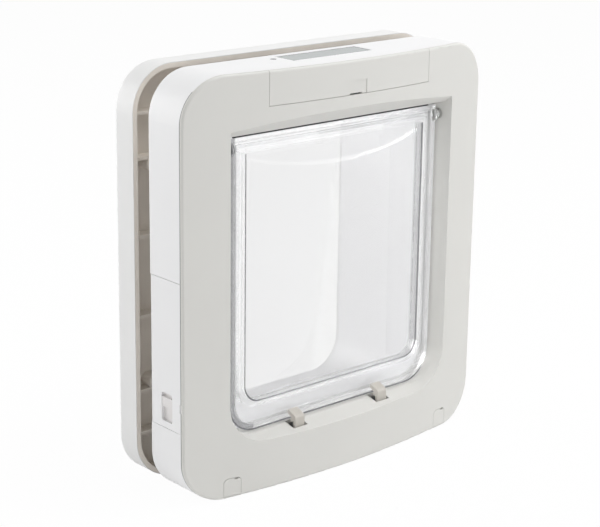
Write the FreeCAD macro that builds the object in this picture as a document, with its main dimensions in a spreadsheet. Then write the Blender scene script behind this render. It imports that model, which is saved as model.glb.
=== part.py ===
"""Cat flap with an electronic lock, in two halves that clamp a door panel.

Lengths are millimetres. X runs across the door, Y from the room to the outside, Z up. The object
stands on Z = 0, and Y = 0 is half way between the bowed front and the end of the outer sleeve.
"""
import FreeCAD, Part
import math
import os
import Sketcher

doc = FreeCAD.newDocument("cat_flap")

# Driving dimensions
SIZES = {
    "width": 262.0, "height": 279.0, "corner_radius": 30.0, "shell_wall": 3.0,
    "bow": 13.7, "board_room": 8.2, "door_gap": 15.8, "outer_depth": 19.7, "sleeve_out": 33.6,
    "skin": 2.4, "cover_edge": 2.0, "seam": 0.3, "edge_round": 1.7,
    "cheek": 33.6, "sill_top": 37.3, "crown": 40.7, "recess_radius": 25.0,
    "recess_depth": 12.0, "sill_slope": 0.27, "ceiling_slope": 0.72, "cheek_slope": 0.066,
    "front_radius": 30.0,
    "tunnel_inset": 4.4, "tunnel_floor": 20.5, "tunnel_drop": 3.8, "tunnel_radius": 23.0,
    "roof_radius": 6.0, "tunnel_wall": 2.4, "tunnel_short": 5.0, "flange_reach": 8.0,
    "flange_thick": 2.4, "sleeve_wall": 2.6,
    "flap_inset": 5.9, "flap_gap": 0.7, "flap_front": 2.2, "flap_depth": 7.8, "header_gap": 1.8,
    "header_height": 11.0, "flap_radius": 22.0, "rim_width": 12.5, "bar_height": 19.5,
    "pane_radius": 13.0, "pane_thick": 2.0, "pane_set": 0.8, "pane_bow": 6.3, "rim_step": 1.2,
    "step_width": 4.5, "channel_width": 5.0, "channel_depth": 5.2, "crest_drop": 10.5,
    "crest_start": 3.2, "crease_round": 6.0, "pivot_depth": 6.0, "pivot_drop": 7.5, "pin_radius": 2.4,
    "pin_length": 4.4, "run_gap": 0.06, "bush_radius": 3.8, "ear_radius": 5.0, "ear_thick": 2.6,
    "latch_place": 38.0, "latch_width": 8.0, "latch_thick": 2.6, "latch_height": 8.8,
    "latch_lean": 5.0, "latch_travel": 10.0, "latch_gap": 0.3, "slot_gap": 2.2, "hook_nose": 3.2,
    "hook_knee": 5.4,
    "plunger_radius": 2.2, "coil_width": 12.0, "coil_depth": 8.6, "coil_height": 12.5,
    "box_side": 16.6, "battery_height": 22.6, "battery_panel": 2.2, "thumb_half": 9.5,
    "thumb_height": 9.4, "thumb_depth": 0.45, "notch_half": 5.3, "notch_height": 1.1,
    "cell_radius": 7.1, "cell_length": 50.0, "cell_nub": 0.8, "nub_radius": 2.6, "box_wall": 1.2,
    "box_gap": 0.595, "wing_inset": 1.6, "wing_thick": 1.6, "button_radius": 2.6,
    "button_length": 4.6, "button_travel": 0.8, "button_rise": 14.8, "switch_size": 6.0,
    "screw_radius": 2.2, "head_radius": 4.2, "head_thick": 3.0, "head_place": 8.0,
    "boss_radius": 5.4, "high_screw_inset": 8.0, "high_screw_rise": 6.0, "low_screw_inset": 35.0,
    "low_screw_z": 8.8, "screw_bite": 12.0, "drive_width": 1.1, "drive_depth": 1.4, "drive_reach": 2.3,
    "cap_half": 6.6, "cap_top": 13.9, "cap_base": 1.4, "cap_thick": 1.2, "cap_gap": 0.25,
    "cap_notch_near": 1.6, "cap_notch_far": 4.6,
    "post_inset": 17.0, "post_radius": 4.0, "post_screw": 1.5, "post_head": 2.9, "post_meet": 16.0,
    "post_low": 34.0, "post_drop": 35.0, "post_bite": 8.0, "post_head_thick": 2.0,
    "flange_screw": 1.3, "flange_head": 2.4, "flange_rise": 41.0, "flange_drop": 17.0,
    "flange_head_thick": 1.6,
    "screen_half": 34.7, "screen_near": 8.4, "screen_depth": 18.6, "screen_glass": 1.4,
    "screen_frame": 2.6, "module_thick": 2.4, "sensor_x": -41.5, "sensor_depth": 20.6,
    "sensor_radius": 2.3,
    "board_half": 53.0, "board_drop": 33.0, "board_height": 24.0, "board_thick": 1.6,
    "chip_size": 9.0, "chip_thick": 1.4,
    "loop_near": 15.0, "loop_depth": 8.0, "loop_thick": 4.5, "loop_gap": 0.2,
    "panel_base": 50.0, "panel_height": 100.0, "panel_thick": 1.8, "slot_base": 54.6,
    "slot_height": 19.4, "slot_near": 11.4, "slot_depth": 11.2, "slot_round": 1.4,
    "slider_height": 6.6, "plate_below": 10.2, "plate_above": 12.6,
    "slider_travel": 9.0, "slider_sunk": 0.2, "slider_plate": 1.4, "plate_reach": 2.2,
    "pry_height": 6.0, "pry_depth": 1.4, "switch_thick": 4.0, "switch_groove": 3.0,
    "rib_pitch": 27.0, "rib_outer": 78.5, "rib_far": 108.0, "rib_thick": 2.0, "rib_depth": 9.0,
    "outer_boss": 5.0, "pilot_radius": 1.6, "spare_boss_inset": 21.0, "spare_boss_z": 74.0,
    "outer_round": 3.0, "outer_wall": 3.6, "cell_slack": 3.4, "button_proud": 0.6, "slider_rest": 3.2,
    "switch_lever": 1.0, "spring_radius": 3.2, "groove_width": 0.8, "groove_depth": 0.5,
    "groove_first": 5.6, "groove_pitch": 2.4,
}

# Places that follow from the sizes above
TIED = {
    "face_radius": "(width * width / 4 + bow * bow) / (2 * bow)",
    "battery_half": "cell_length + cell_slack + box_side",
    "box_front": "face_radius - bow - sqrt(face_radius ^ 2 - wing_half ^ 2) + battery_panel + box_gap",
    "box_rear": "box_front + 4 * cell_radius + 3 * seam",
    "inner_depth": "box_rear + box_wall + board_room + shell_wall",
    "recess_half": "width / 2 - cheek", "tunnel_half": "recess_half - tunnel_inset",
    "flap_half": "recess_half - flap_inset", "post_x": "width / 2 - post_inset",
    "low_screw_x": "width / 2 - low_screw_inset", "spare_boss_x": "width / 2 - spare_boss_inset",
    "high_screw_x": "battery_half - high_screw_inset", "wing_half": "battery_half - wing_inset",
    "recess_top": "height - crown", "tunnel_roof": "recess_top - tunnel_drop",
    "header_top": "recess_top - header_gap", "pivot_height": "header_top - pivot_drop",
    "battery_sill": "height - battery_height", "button_height": "battery_sill + button_rise",
    "high_screw_z": "battery_sill + high_screw_rise", "board_base": "height - board_drop",
    "post_high": "height - post_drop",
}

sheet = doc.addObject("Spreadsheet::Sheet", "Sizes")
CELLS = {**SIZES, **{name: "=" + text for name, text in TIED.items()}}
for row, (alias, size) in enumerate(CELLS.items(), start=1):
    sheet.set("A%d" % row, alias)
    sheet.setAlias("B%d" % row, alias)
for row, size in enumerate(CELLS.values(), start=1):
    sheet.set("B%d" % row, str(size))
doc.recompute()


def cell(text):
    """An expression in which each bare alias names its cell in the sheet."""
    words = []
    for word in text.replace("(", " ( ").replace(")", " ) ").split():
        plain = word.lstrip("-")
        words.append(word[: len(word) - len(plain)] + "Sizes." + plain if plain in CELLS else word)
    return " ".join(words)


def value(text):
    """The present value of an expression, for first positions in sketches."""
    return float(sheet.evalExpression(cell(text)))


# Depths count from the plane of the front cover's side edges. FRONT is where that plane lies.
FRONT = "(bow - inner_depth - door_gap - outer_depth - sleeve_out) / 2"
BACK = "inner_depth"
INNER_BACK = "(inner_depth - shell_wall)"
OUTER_NEAR = "(inner_depth + door_gap)"
OUTER_FAR = "(inner_depth + door_gap + outer_depth)"
SLEEVE_END = "(inner_depth + door_gap + outer_depth + sleeve_out)"


def at_depth(depth):
    """The Y of a depth behind the front plane."""
    return "(%s) + %s" % (depth, FRONT)


def plane_of(body, role):
    return [feature for feature in body.Origin.OriginFeatures if feature.Role == role][0]


def new_sketch(body, role, place):
    """A sketch on a plane across the role's axis at the given place along it."""
    sketch = body.newObject("Sketcher::SketchObject", body.Name + "_outline")
    sketch.AttachmentSupport = (plane_of(body, role), [""])
    sketch.MapMode = "FlatFace"
    sign = "-" if role == "XZ_Plane" else ""
    sketch.setExpression("AttachmentOffset.Base.z", cell("%s(%s)" % (sign, place)))
    return sketch


def tie(sketch, kind, *arguments):
    """One constraint whose size is the expression given last."""
    text = arguments[-1]
    number = sketch.addConstraint(Sketcher.Constraint(kind, *arguments[:-1], value(text)))
    sketch.setExpression("Constraints[%d]" % number, cell(text))


def link(sketch, kind, *arguments):
    return sketch.addConstraint(Sketcher.Constraint(kind, *arguments))


def draw_outline(sketch, corners):
    """A closed outline of straight sides. A corner is (u, v) or (u, v, radius), as expressions."""
    count = len(corners)
    spots = [FreeCAD.Vector(value(c[0]), value(c[1]), 0) for c in corners]
    radii = [value(c[2]) if len(c) > 2 else 0.0 for c in corners]
    starts, ends, arcs = [], [], []
    for index, spot in enumerate(spots):
        before = (spots[index - 1] - spot).normalize()
        after = (spots[(index + 1) % count] - spot).normalize()
        half = before.getAngle(after) / 2
        reach = radii[index] / math.tan(half)
        ends.append(spot + before * reach)
        starts.append(spot + after * reach)
        if radii[index]:
            middle = spot + (before + after).normalize() * (radii[index] / math.sin(half))
            inward = (spot - middle).normalize() * radii[index]
            arcs.append(Part.Arc(ends[-1], middle + inward, starts[-1]))
        else:
            arcs.append(None)
    sides = []
    for index in range(count):
        run = Part.LineSegment(starts[index], ends[(index + 1) % count])
        sides.append(sketch.addGeometry(run, False))
    for index, corner in enumerate(corners):
        before, after = sides[index - 1], sides[index]
        if arcs[index] is None:
            link(sketch, "Coincident", before, 2, after, 1)
            tie(sketch, "DistanceX", -1, 1, after, 1, corner[0])
            tie(sketch, "DistanceY", -1, 1, after, 1, corner[1])
            continue
        turned = sketch.addGeometry(arcs[index], False)
        arc = sketch.Geometry[turned]
        first = 1 if arc.StartPoint.distanceToPoint(ends[index]) < arc.Radius / 100 else 2
        tip = sketch.addGeometry(Part.Point(spots[index]), True)
        link(sketch, "Tangent", before, 2, turned, first)
        link(sketch, "Tangent", turned, 3 - first, after, 1)
        link(sketch, "PointOnObject", tip, 1, before)
        link(sketch, "PointOnObject", tip, 1, after)
        tie(sketch, "DistanceX", -1, 1, tip, 1, corner[0])
        tie(sketch, "DistanceY", -1, 1, tip, 1, corner[1])
        tie(sketch, "Radius", turned, corner[2])


def draw_circle(sketch, centre, radius):
    """A full circle on the sketch."""
    middle = FreeCAD.Vector(value(centre[0]), value(centre[1]), 0)
    ring = sketch.addGeometry(Part.Circle(middle, FreeCAD.Vector(0, 0, 1), value(radius)), False)
    tie(sketch, "DistanceX", -1, 1, ring, 3, centre[0])
    tie(sketch, "DistanceY", -1, 1, ring, 3, centre[1])
    tie(sketch, "Radius", ring, radius)


def new_body(label):
    body = doc.addObject("PartDesign::Body", label)
    body.Label = label
    return body


def pad(body, role, place, length, corners):
    """Solid from the place, along the plane's axis, by the length."""
    sketch = new_sketch(body, role, place)
    draw_outline(sketch, corners)
    return extrude(body, sketch, "PartDesign::Pad", role == "XZ_Plane", length)


def pocket(body, role, place, length, corners):
    """Cut from the place, along the plane's axis, by the length."""
    sketch = new_sketch(body, role, place)
    draw_outline(sketch, corners)
    return extrude(body, sketch, "PartDesign::Pocket", role != "XZ_Plane", length)


def rod(body, role, place, length, centre, radius):
    """Round solid from the place, along the plane's axis, by the length."""
    sketch = new_sketch(body, role, place)
    draw_circle(sketch, centre, radius)
    return extrude(body, sketch, "PartDesign::Pad", role == "XZ_Plane", length)


def bore(body, role, place, length, centre, radius):
    """Round cut from the place, along the plane's axis, by the length."""
    sketch = new_sketch(body, role, place)
    draw_circle(sketch, centre, radius)
    return extrude(body, sketch, "PartDesign::Pocket", role != "XZ_Plane", length)


def extrude(body, sketch, kind, turned, length):
    """The pad or pocket of a sketch. A pocket has to take something away."""
    before = body.Shape.Volume if body.Tip else 0.0
    feature = body.newObject(kind, sketch.Name + "_solid")
    feature.Profile = sketch
    feature.setExpression("Length", cell(length))
    feature.Reversed = turned
    doc.recompute()
    if kind == "PartDesign::Pocket" and body.Shape.Volume >= before:
        raise ValueError("%s cuts nothing" % feature.Name)
    return feature


def round_edges(body, radius, wanted):
    """Fillet on the edges for which wanted(edge) is true."""
    names = ["Edge%d" % n for n, edge in enumerate(body.Shape.Edges, start=1) if wanted(edge)]
    base = body.Tip
    fillet = body.newObject("PartDesign::Fillet", body.Name + "_round")
    fillet.Base = (base, names)
    fillet.setExpression("Radius", cell(radius))
    doc.recompute()
    return fillet


def block(label, x_span, depth_span, z_span):
    """A plain box between two X, two depths and two Z."""
    solid = doc.addObject("Part::Box", label)
    solid.Label = label
    starts = (x_span[0], at_depth(depth_span[0]), z_span[0])
    spans = (x_span, depth_span, z_span)
    for name, axis, start, span in zip(("Length", "Width", "Height"), "xyz", starts, spans):
        solid.setExpression(name, cell("(%s) - (%s)" % (span[1], span[0])))
        solid.setExpression("Placement.Base.%s" % axis, cell(start))
    return solid


def joined(label, kind, pieces):
    """Part::MultiFuse or Part::MultiCommon of the pieces."""
    result = doc.addObject(kind, label)
    result.Label = label
    result.Shapes = pieces
    doc.recompute()
    return result


def cut_out(label, base, tools):
    """The base less all the tools."""
    result = doc.addObject("Part::Cut", label)
    result.Label = label
    result.Base = base
    result.Tool = tools[0] if len(tools) == 1 else joined(label + "_space", "Part::MultiFuse", tools)
    doc.recompute()
    return result


def grouped(label, pieces):
    """Separate solids that share one name."""
    result = doc.addObject("Part::Compound", label)
    result.Label = label
    result.Links = pieces
    doc.recompute()
    return result


def shell_outline(inset):
    """The rounded outline of both halves, drawn in by the inset."""
    side = "width / 2 - (%s)" % inset
    top = "height - (%s)" % inset
    turn = "corner_radius - (%s)" % inset
    return [("-(%s)" % side, inset, turn), (side, inset, turn), (side, top, turn),
            ("-(%s)" % side, top, turn)]


def recess_outline(out, forward):
    """The recess that frames the flap, drawn out by a wall and flared towards the room."""
    side = "recess_half + %s + cheek_slope * (%s)" % (out, forward)
    low = "sill_top - %s - sill_slope * (%s)" % (out, forward)
    high = "recess_top + %s + ceiling_slope * (%s)" % (out, forward)
    turn = "recess_radius + %s + (front_radius - recess_radius) * (%s) / bow" % (out, forward)
    return [("-(%s)" % side, high), ("-(%s)" % side, low, turn), (side, low, turn), (side, high)]


def tunnel_outline(out):
    """The passage, drawn out by the given distance."""
    side = "tunnel_half + (%s)" % out
    low = "tunnel_floor - (%s)" % out
    high = "tunnel_roof + (%s)" % out
    turn = "tunnel_radius + (%s)" % out
    tight = "roof_radius + (%s)" % out
    return [("-(%s)" % side, high, tight), ("-(%s)" % side, low, turn), (side, low, turn),
            (side, high, tight)]


def draw_bowed(sketch, radius, middle, half, rear):
    """A closed profile with a bowed front, seen from above."""
    size, reach, centre = value(radius), value(half), value(middle)
    near = centre - math.sqrt(size * size - reach * reach)
    spots = [FreeCAD.Vector(-reach, near, 0), FreeCAD.Vector(reach, near, 0),
             FreeCAD.Vector(reach, value(rear), 0), FreeCAD.Vector(-reach, value(rear), 0)]
    face = Part.Arc(spots[0], FreeCAD.Vector(0, centre - size, 0), spots[1])
    bow = sketch.addGeometry(face, False)
    right = sketch.addGeometry(Part.LineSegment(spots[1], spots[2]), False)
    back = sketch.addGeometry(Part.LineSegment(spots[2], spots[3]), False)
    left = sketch.addGeometry(Part.LineSegment(spots[3], spots[0]), False)
    link(sketch, "Coincident", bow, 1, left, 2)
    link(sketch, "Coincident", bow, 2, right, 1)
    link(sketch, "Coincident", right, 2, back, 1)
    link(sketch, "Coincident", back, 2, left, 1)
    link(sketch, "Vertical", left)
    link(sketch, "Vertical", right)
    link(sketch, "Horizontal", back)
    link(sketch, "PointOnObject", bow, 3, -2)
    tie(sketch, "DistanceX", -1, 1, left, 1, "-(%s)" % half)
    tie(sketch, "DistanceX", -1, 1, right, 1, half)
    tie(sketch, "DistanceY", -1, 1, back, 1, rear)
    tie(sketch, "DistanceY", -1, 1, bow, 3, middle)
    tie(sketch, "Radius", bow, radius)


def bowed_block(label, behind, half, back, low, high):
    """Everything behind the bowed face moved back by a thickness, within a half width."""
    body = new_body(label)
    sketch = new_sketch(body, "XY_Plane", low)
    draw_bowed(sketch, "face_radius - (%s)" % behind, at_depth("face_radius - bow"),
               half, at_depth(back))
    extrude(body, sketch, "PartDesign::Pad", False, "(%s) - (%s)" % (high, low))
    return body


def flared_recess(label, out, rear):
    """The recess as a solid: a loft through the bowed front and a straight run to the rear."""
    body = new_body(label)
    wide = new_sketch(body, "XZ_Plane", at_depth("-bow - skin"))
    draw_outline(wide, recess_outline(out, "bow + skin"))
    narrow = new_sketch(body, "XZ_Plane", at_depth("0"))
    draw_outline(narrow, recess_outline(out, "0"))
    doc.recompute()
    loft = body.newObject("PartDesign::AdditiveLoft", label + "_flare")
    loft.Profile = wide
    loft.Sections = [narrow]
    doc.recompute()
    pad(body, "XZ_Plane", at_depth("0"), rear, recess_outline(out, "0"))
    return body


def stub(label, x, depth_span, z, radius):
    """A round post along the depth."""
    solid = doc.addObject("Part::Cylinder", label)
    solid.Label = label
    solid.setExpression("Radius", cell(radius))
    solid.setExpression("Height", cell("(%s) - (%s)" % (depth_span[1], depth_span[0])))
    turned = FreeCAD.Rotation(FreeCAD.Vector(1, 0, 0), -90)
    solid.Placement = FreeCAD.Placement(FreeCAD.Vector(0, 0, 0), turned)
    solid.setExpression("Placement.Base.x", cell(x))
    solid.setExpression("Placement.Base.y", cell(at_depth(depth_span[0])))
    solid.setExpression("Placement.Base.z", cell(z))
    return solid


def each_side(make):
    """The same pieces on the left and on the right."""
    return [make("left", "-"), make("right", "")]


# Where the screws of each kind stand, as expressions for X and Z
FIXINGS = [("%shigh_screw_x" % s, "high_screw_z") for s in ("-", "")]
FIXINGS += [("%slow_screw_x" % s, "low_screw_z") for s in ("-", "")]
POSTS = [("%spost_x" % s, z) for s in ("-", "") for z in ("post_low", "post_high")]
POSTS += [("post_x", "height / 2"), ("-post_x", "panel_base + panel_height + boss_radius")]
FLANGE_X = "(tunnel_half + tunnel_wall + flange_reach / 2)"
FLANGE_SCREWS = [("%s%s" % (s, FLANGE_X), level) for s in ("-", "")
                 for level in ("tunnel_floor + flange_rise", "height / 2", "tunnel_roof - flange_drop")]


def bowed_blank():
    """The solid between the bowed face and the cover's rear plane, with its front edge rounded."""
    body = new_body("cover_blank")
    pad(body, "XZ_Plane", at_depth("-bow - skin"), "bow + skin + cover_edge", shell_outline("0"))
    front = new_sketch(body, "XY_Plane", "-skin")
    draw_bowed(front, "face_radius", at_depth("face_radius - bow"), "width / 2 + skin",
               at_depth("-bow - 2 * skin"))
    extrude(body, front, "PartDesign::Pocket", True, "height + 2 * skin")
    near = value("seam") / 10
    rear = value(at_depth("cover_edge"))
    round_edges(body, "edge_round", lambda edge: all(v.Point.y < rear - near
                                                     for v in edge.Vertexes))
    return body


def rim_rabbet(label):
    """The room behind the thin edge of the bowed skin, which the front edge of the shell fills."""
    ring = new_body(label + "_ring")
    sketch = new_sketch(ring, "XZ_Plane", at_depth("-bow - skin"))
    draw_outline(sketch, shell_outline("-skin"))
    draw_outline(sketch, shell_outline("shell_wall + seam"))
    extrude(ring, sketch, "PartDesign::Pad", True, "bow + cover_edge + 2 * skin")
    behind = bowed_block(label + "_face", "cover_edge", "width / 2 + skin", "cover_edge + 2 * skin",
                         "-skin", "height + skin")
    return joined(label, "Part::MultiCommon", [ring, behind])


def front_cover(plate):
    """Bowed moulding with the recess, the sill and its latch slots."""
    behind = bowed_block("cover_hollow", "skin", "width / 2 + skin", "cover_edge + 2 * skin",
                         "-skin", "height + skin")
    thin = cut_out("cover_skin", plate, [behind, rim_rabbet("cover_rabbet")])
    wall = flared_recess("recess_wall", "skin", "recess_depth")
    limit = bowed_block("recess_limit", "0", "width / 2 - skin", "recess_depth + skin",
                        "skin", "height - skin")
    sleeve = joined("recess_sleeve", "Part::MultiCommon", [wall, limit])
    posts = []
    for number, (x, z) in enumerate(POSTS, start=1):
        post = stub("cover_post_%d" % number, x, ("-bow", "post_meet"), z, "post_radius")
        posts.append(post)
    stems = joined("cover_posts", "Part::MultiCommon", [joined("cover_stems", "Part::MultiFuse", posts),
                                                        limit_to_skin()])
    whole = joined("cover_whole", "Part::MultiFuse", [thin, sleeve, stems])
    cuts = [flared_recess("recess_space", "0", "recess_depth + skin")]
    cuts.append(block("battery_gap", ("-battery_half - seam", "battery_half + seam"),
                      ("-bow - skin", "cover_edge + skin"), ("battery_sill", "height + skin")))
    for name, side in (("left", "-"), ("right", "")):
        x = "%slatch_place" % side
        cuts.append(block("latch_slot_" + name,
                          ("%s - latch_width / 2 - slot_gap" % x, "%s + latch_width / 2 + slot_gap" % x),
                          ("-latch_lean - latch_thick + latch_gap", "flap_front + latch_gap"),
                          ("sill_top - 4 * skin", "sill_top + skin")))
        cuts.append(cap_pocket(name, side))
        cuts.append(bush_seat(name, side))
        cuts.append(stub("cap_bore_" + name, "%slow_screw_x" % side, ("-bow", "cover_edge + skin"),
                         "low_screw_z", "head_radius + cap_gap"))
    for number, (x, z) in enumerate(POSTS, start=1):
        cuts.append(stub("cover_pilot_%d" % number, x, ("post_meet - post_bite", "post_meet + skin"),
                         z, "post_screw + run_gap"))
    return cut_out("front_cover", whole, cuts)


def bush_seat(name, side):
    """Blind round seat in a side wall of the recess for a pivot bush."""
    body = new_body("bush_seat_" + name)
    start = "-recess_half - skin / 2" if side else "recess_half - skin"
    rod(body, "YZ_Plane", start, "1.5 * skin", (at_depth("pivot_depth"), "pivot_height"), "bush_radius")
    return body


def limit_to_skin():
    """The room behind the bowed skin, which the posts may fill."""
    return bowed_block("post_limit", "skin / 2", "width / 2 - skin", "post_meet + skin",
                       "skin", "height - skin")


def cap_outline(side, inset):
    """A cap's outline: square foot and rounded top."""
    left = "%slow_screw_x - cap_half + %s" % (side, inset)
    right = "%slow_screw_x + cap_half - %s" % (side, inset)
    low = "cap_base + %s" % inset
    high = "cap_top - %s" % inset
    turn = "cap_half / 2"
    return [(left, low), (right, low), (right, high, turn), (left, high, turn)]


def cap_pocket(name, side):
    """Shallow seat in the skin for a cap over a lower fixing screw."""
    seat = new_body("cap_seat_%s_outline" % name)
    pad(seat, "XZ_Plane", at_depth("-bow"), "bow + skin", cap_outline(side, "0"))
    room = bowed_block("cap_seat_%s_room" % name, "cap_thick", "width / 2", "cover_edge + skin",
                       "-skin", "height")
    return cut_out("cap_seat_" + name, seat, [room])


def corner_cap(name, side):
    """Snap-in cap with a pry notch in its top edge."""
    blank = new_body("cap_blank_" + name)
    pad(blank, "XZ_Plane", at_depth("-bow"), "bow + skin", cap_outline(side, "cap_gap"))
    face = bowed_block("cap_face_" + name, "0", "width / 2", "cover_edge + skin",
                       "-skin", "height")
    room = bowed_block("cap_room_" + name, "cap_thick", "width / 2", "cover_edge + 2 * skin",
                       "-skin", "height")
    shaped = joined("cap_shape_" + name, "Part::MultiCommon", [blank, face])
    lug = stub("cap_lug_" + name, "%slow_screw_x" % side, ("-bow", "cover_edge - skin"), "low_screw_z",
               "head_radius")
    held = joined("cap_held_" + name, "Part::MultiCommon", [lug, face])
    drilled = stub("cap_lug_bore_" + name, "%slow_screw_x" % side, ("-bow", "cover_edge"), "low_screw_z",
                   "head_radius - cap_thick")
    lip = joined("cap_lip_" + name, "Part::MultiCommon", [drilled, room])
    notch = block("cap_notch_" + name,
                  ("%slow_screw_x + cap_notch_near" % side, "%slow_screw_x + cap_notch_far" % side),
                  ("-bow - skin", "cover_edge"), ("cap_top - cap_thick - cap_gap", "cap_top"))
    thin = cut_out("cap_thin_" + name, shaped, [room])
    whole = joined("cap_whole_" + name, "Part::MultiFuse", [thin, held])
    return cut_out("corner_cap_" + name, whole, [lip, notch])


def inner_housing():
    """White shell with the back wall against the door, screw tubes and the seats on its top and side."""
    body = new_body("housing_shell")
    pad(body, "XZ_Plane", at_depth("-bow"), "bow + inner_depth", shell_outline("0"))
    pocket(body, "XZ_Plane", at_depth("-bow"), "bow + inner_depth - shell_wall",
           shell_outline("shell_wall"))
    front = new_sketch(body, "XY_Plane", "-skin")
    draw_bowed(front, "face_radius - cover_edge - seam", at_depth("face_radius - bow"),
               "width / 2 + skin", at_depth("-bow - 2 * skin"))
    extrude(body, front, "PartDesign::Pocket", True, "height + 2 * skin")
    rear = value(at_depth(BACK))
    near = value("seam") / 10
    round_edges(body, "edge_round", lambda edge: all(abs(v.Point.y - rear) < near
                                                     for v in edge.Vertexes))
    tubes = []
    for number, (x, z) in enumerate(FIXINGS, start=1):
        tubes.append(stub("fixing_tube_%d" % number, x, ("head_place", BACK), z, "boss_radius"))
    for number, (x, z) in enumerate(POSTS, start=1):
        tubes.append(stub("post_tube_%d" % number, x, ("post_meet + seam / 3", BACK), z,
                          "post_radius + seam"))
    ledge = block("screen_ledge", ("-screen_half - screen_frame", "screen_half + screen_frame"),
                  ("screen_near - screen_frame", "screen_near + screen_depth + screen_frame"),
                  ("height - shell_wall - seam", "height - seam"))
    shelf = [block("board_foot_%d" % n, (x, "%s + 2 * board_thick" % x),
                   ("%s - 2 * board_thick" % INNER_BACK, BACK),
                   ("board_base", "board_base + board_height"))
             for n, x in enumerate(("-board_half / 2", "board_half / 2"), start=1)]
    bracket = block("switch_bracket",
                    ("-width / 2 + panel_thick", "-width / 2 + shell_wall + switch_thick"),
                    ("slot_near + slot_depth + 2 * plate_reach + seam",
                     "slot_near + slot_depth + 2 * plate_reach + seam + box_wall"),
                    ("slot_base - plate_reach", "slot_base + slot_height + plate_reach"))
    whole = joined("housing_whole", "Part::MultiFuse", [body, ledge, bracket] + tubes + shelf)
    mouth = new_body("housing_mouth")
    pad(mouth, "XZ_Plane", at_depth("%s - skin" % INNER_BACK), "shell_wall + 2 * skin",
        tunnel_outline("tunnel_wall + seam"))
    cuts = [mouth]
    for number, (x, z) in enumerate(FIXINGS, start=1):
        cuts.append(stub("fixing_way_%d" % number, x, ("cover_edge", "inner_depth + skin"), z,
                         "screw_radius + seam"))
    for number, (x, z) in enumerate(POSTS, start=1):
        cuts.append(stub("post_way_%d" % number, x, ("post_meet", "inner_depth + skin"), z,
                         "post_screw + seam"))
        cuts.append(stub("post_sink_%d" % number, x, ("post_meet + 2 * skin", "inner_depth + skin"), z,
                         "post_head + seam"))
    for number, (x, z) in enumerate(FLANGE_SCREWS, start=1):
        cuts.append(stub("flange_way_%d" % number, x, ("%s - skin" % INNER_BACK, "inner_depth + skin"), z,
                         "flange_screw + seam / 2"))
        cuts.append(stub("flange_sink_%d" % number, x,
                         ("inner_depth - flange_head_thick - seam / 3", "inner_depth + skin"), z,
                         "flange_head + seam / 2"))
    cuts.append(block("screen_seat", ("-screen_half", "screen_half"),
                      ("screen_near", "screen_near + screen_depth"),
                      ("height - screen_glass - seam / 2", "height + skin")))
    cuts.append(block("screen_view",
                      ("-screen_half + box_wall", "screen_half - box_wall"),
                      ("screen_near + box_wall", "screen_near + screen_depth - box_wall"),
                      ("height - 2 * shell_wall", "height")))
    eye = doc.addObject("Part::Cylinder", "sensor_way")
    eye.setExpression("Radius", cell("sensor_radius"))
    eye.setExpression("Height", cell("2 * shell_wall"))
    eye.setExpression("Placement.Base.x", cell("sensor_x"))
    eye.setExpression("Placement.Base.y", cell(at_depth("sensor_depth")))
    eye.setExpression("Placement.Base.z", cell("height - 1.5 * shell_wall"))
    cuts.append(eye)
    cuts.append(block("panel_seat", ("-width / 2 - skin", "-width / 2 + panel_thick"),
                      ("-skin", "inner_depth + skin"), ("panel_base", "panel_base + panel_height")))
    rest = "slot_base + slot_height - slider_rest"
    cuts.append(block("slider_room", ("-width / 2 + panel_thick", "-width / 2 + shell_wall + seam"),
                      ("slot_near - plate_reach - seam", "slot_near + slot_depth + plate_reach + seam"),
                      ("%s - slider_height - plate_below - slider_travel - seam" % rest,
                       "%s + plate_above + seam" % rest)))
    return cut_out("inner_housing", whole, cuts)


def tunnel():
    """Passage liner with a front plate behind the flap and a flange against the back wall."""
    body = new_body("tunnel_liner")
    start = "recess_depth + seam"
    behind = "recess_depth + seam + flange_thick"
    end = "%s - tunnel_short" % SLEEVE_END
    pad(body, "XZ_Plane", at_depth(start), "(%s) - (%s)" % (end, start), tunnel_outline("tunnel_wall"))
    for place in (start, "%s - flange_thick" % INNER_BACK):
        pad(body, "XZ_Plane", at_depth(place), "flange_thick",
            tunnel_outline("tunnel_wall + flange_reach"))
    pocket(body, "XZ_Plane", at_depth(behind), "(%s) - (%s)" % (end, behind), tunnel_outline("0"))
    pocket(body, "XZ_Plane", at_depth(start), "flange_thick",
           [("-tunnel_half", "tunnel_roof", "roof_radius"), ("-tunnel_half", "sill_top", "flap_radius"),
            ("tunnel_half", "sill_top", "flap_radius"), ("tunnel_half", "tunnel_roof", "roof_radius")])
    cuts = [stub("flange_pilot_%d" % n, x, ("%s - flange_thick - skin" % INNER_BACK, BACK), z,
                 "flange_screw + run_gap")
            for n, (x, z) in enumerate(FLANGE_SCREWS, start=1)]
    for number, (x, z) in enumerate(FIXINGS[2:], start=1):
        cuts.append(stub("flange_relief_%d" % number, x, ("cover_edge", BACK), z, "boss_radius + seam"))
    return cut_out("tunnel", body, cuts)


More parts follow.
